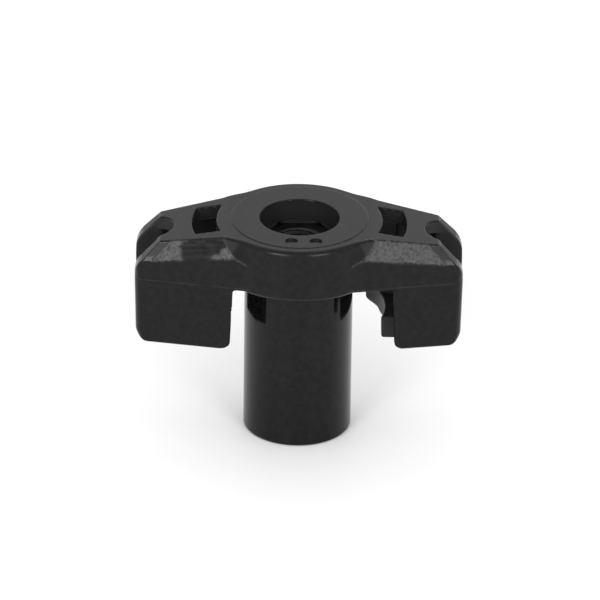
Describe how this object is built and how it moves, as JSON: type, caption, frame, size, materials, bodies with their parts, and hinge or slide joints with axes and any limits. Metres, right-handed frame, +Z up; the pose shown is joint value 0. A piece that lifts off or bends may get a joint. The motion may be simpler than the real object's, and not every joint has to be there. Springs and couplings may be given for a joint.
{
  "type": "wing nut",
  "caption": "Long-barrel plastic wing nut with a captive steel hex nut, hollow wings and bayonet catches under them, for hand-tightening onto an M8 stud.",
  "frame": {"origin": "centre of the barrel's foot, the face that bears on the clamped part", "axes": "+Z up the thread axis from the foot to the top of the hub, +X along the wings, towards the wing whose front tab is the narrow one"},
  "size_m": [0.0594, 0.029, 0.0419],
  "materials": {
    "moulding": "smooth moulded, glossy black",
    "nut": "plain steel, dull"
  },
  "bodies": {
    "root": {"barrel": "moulding", "hub": "moulding", "hex_nut": "nut", "right_wing": "moulding", "left_wing": "moulding", "right_catch": "moulding", "left_catch": "moulding"}
  },
  "joints": []
}
